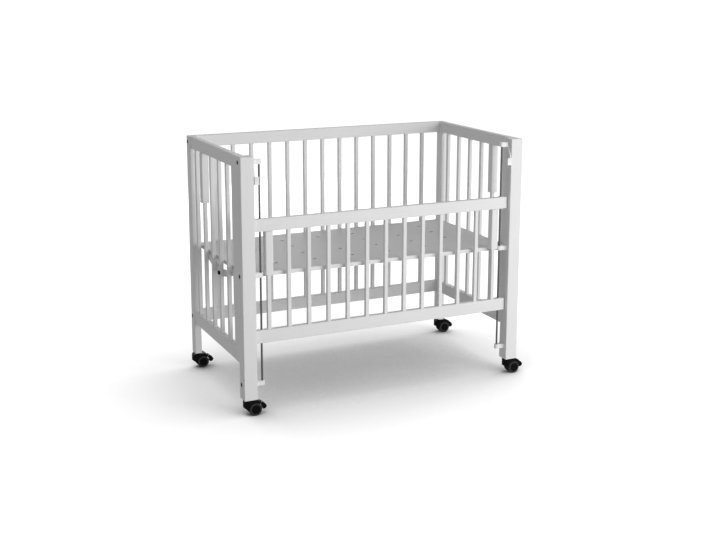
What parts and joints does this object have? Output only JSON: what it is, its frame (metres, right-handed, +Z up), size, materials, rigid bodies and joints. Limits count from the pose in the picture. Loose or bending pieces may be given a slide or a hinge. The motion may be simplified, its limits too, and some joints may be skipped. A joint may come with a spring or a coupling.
{
  "type": "bedside crib",
  "caption": "Bedside sleeper crib in painted wood with barred panels, a front side that slides on rods, a perforated base board and braked casters.",
  "frame": {"origin": "middle of the bounding box in plan, on the floor", "axes": "+X along the drop side to the right, +Y from the drop side to the back, +Z up"},
  "size_m": [1.01, 0.5308, 0.792],
  "materials": {
    "painted_wood": "white paint, satin",
    "bracket_wood": "white paint, satin",
    "base_panel": "pale grey laminate, matt",
    "white_plastic": "moulded, satin",
    "dark_steel": "drawn rod",
    "steel": "zinc plated",
    "black_steel": "black oxide",
    "caster_plastic": "moulded, satin",
    "wheel_plastic": "moulded, satin"
  },
  "bodies": {
    "frame": {"front_post_left": "painted_wood", "back_leg_left": "painted_wood", "end_stile_left": "painted_wood", "end_top_rail_left": "painted_wood", "end_low_rail_left": "painted_wood", "end_bars_left": "painted_wood", "end_collar_left": "painted_wood", "base_bracket_left": "bracket_wood", "rod_top_bracket_left": "white_plastic", "rod_middle_guide_left": "white_plastic", "rod_foot_bracket_left": "white_plastic", "front_post_right": "painted_wood", "back_leg_right": "painted_wood", "end_stile_right": "painted_wood", "end_top_rail_right": "painted_wood", "end_low_rail_right": "painted_wood", "end_bars_right": "painted_wood", "end_collar_right": "painted_wood", "base_bracket_right": "bracket_wood", "rod_top_bracket_right": "white_plastic", "rod_middle_guide_right": "white_plastic", "rod_foot_bracket_right": "white_plastic", "back_top_rail": "painted_wood", "back_low_rail": "painted_wood", "back_bars": "painted_wood", "base_board": "base_panel", "base_front_edge": "painted_wood", "guide_rods": "dark_steel", "rail_bolts": "black_steel", "bracket_bolts": "black_steel", "base_bolts": "black_steel", "board_screws": "steel", "caster_stems": "steel"},
    "drop_side": {"drop_top_rail": "painted_wood", "drop_low_rail": "painted_wood", "drop_bars": "painted_wood", "drop_collars": "painted_wood", "rail_bushes": "white_plastic"},
    "catch_left": {"catch_lever_left": "white_plastic"},
    "catch_right": {"catch_lever_right": "white_plastic"},
    "swivel_front_left": {"caster_hood_front_left": "caster_plastic", "caster_pins_front_left": "steel"},
    "wheels_front_left": {"caster_wheels_front_left": "wheel_plastic"},
    "pedal_front_left": {"brake_pedal_front_left": "caster_plastic"},
    "swivel_front_right": {"caster_hood_front_right": "caster_plastic", "caster_pins_front_right": "steel"},
    "wheels_front_right": {"caster_wheels_front_right": "wheel_plastic"},
    "pedal_front_right": {"brake_pedal_front_right": "caster_plastic"},
    "swivel_back_left": {"caster_hood_back_left": "caster_plastic", "caster_pins_back_left": "steel"},
    "wheels_back_left": {"caster_wheels_back_left": "wheel_plastic"},
    "pedal_back_left": {"brake_pedal_back_left": "caster_plastic"},
    "swivel_back_right": {"caster_hood_back_right": "caster_plastic", "caster_pins_back_right": "steel"},
    "wheels_back_right": {"caster_wheels_back_right": "wheel_plastic"},
    "pedal_back_right": {"brake_pedal_back_right": "caster_plastic"}
  },
  "joints": [
    {"name": "drop_side_slide", "type": "slide", "parent": "frame", "child": "drop_side", "axis": [0, 0, 1], "range_m": [-0.118, 0.161]},
    {"name": "catch_left_hinge", "type": "hinge", "parent": "frame", "child": "catch_left", "pos_m": [-0.4537, -0.2355, 0.774], "axis": [1, 0, 0], "range_deg": [0, 17]},
    {"name": "catch_right_hinge", "type": "hinge", "parent": "frame", "child": "catch_right", "pos_m": [0.4187, -0.2355, 0.774], "axis": [1, 0, 0], "range_deg": [0, 17]},
    {"name": "swivel_front_left_turn", "type": "hinge", "parent": "frame", "child": "swivel_front_left", "pos_m": [-0.4765, -0.2415, 0.044], "axis": [0, 0, 1], "continuous": true},
    {"name": "wheels_front_left_roll", "type": "hinge", "parent": "swivel_front_left", "child": "wheels_front_left", "pos_m": [-0.4605, -0.2415, 0.02], "axis": [0, 1, 0], "continuous": true},
    {"name": "pedal_front_left_tip", "type": "hinge", "parent": "swivel_front_left", "child": "pedal_front_left", "pos_m": [-0.4395, -0.2415, 0.038], "axis": [0, 1, 0], "range_deg": [0, 12]},
    {"name": "swivel_front_right_turn", "type": "hinge", "parent": "frame", "child": "swivel_front_right", "pos_m": [0.4415, -0.2415, 0.044], "axis": [0, 0, 1], "continuous": true},
    {"name": "wheels_front_right_roll", "type": "hinge", "parent": "swivel_front_right", "child": "wheels_front_right", "pos_m": [0.4575, -0.2415, 0.02], "axis": [0, 1, 0], "continuous": true},
    {"name": "pedal_front_right_tip", "type": "hinge", "parent": "swivel_front_right", "child": "pedal_front_right", "pos_m": [0.4785, -0.2415, 0.038], "axis": [0, 1, 0], "range_deg": [0, 12]},
    {"name": "swivel_back_left_turn", "type": "hinge", "parent": "frame", "child": "swivel_back_left", "pos_m": [-0.486, 0.248, 0.044], "axis": [0, 0, 1], "continuous": true},
    {"name": "wheels_back_left_roll", "type": "hinge", "parent": "swivel_back_left", "child": "wheels_back_left", "pos_m": [-0.47, 0.248, 0.02], "axis": [0, 1, 0], "continuous": true},
    {"name": "pedal_back_left_tip", "type": "hinge", "parent": "swivel_back_left", "child": "pedal_back_left", "pos_m": [-0.449, 0.248, 0.038], "axis": [0, 1, 0], "range_deg": [0, 12]},
    {"name": "swivel_back_right_turn", "type": "hinge", "parent": "frame", "child": "swivel_back_right", "pos_m": [0.451, 0.248, 0.044], "axis": [0, 0, 1], "continuous": true},
    {"name": "wheels_back_right_roll", "type": "hinge", "parent": "swivel_back_right", "child": "wheels_back_right", "pos_m": [0.467, 0.248, 0.02], "axis": [0, 1, 0], "continuous": true},
    {"name": "pedal_back_right_tip", "type": "hinge", "parent": "swivel_back_right", "child": "pedal_back_right", "pos_m": [0.488, 0.248, 0.038], "axis": [0, 1, 0], "range_deg": [0, 12]}
  ]
}
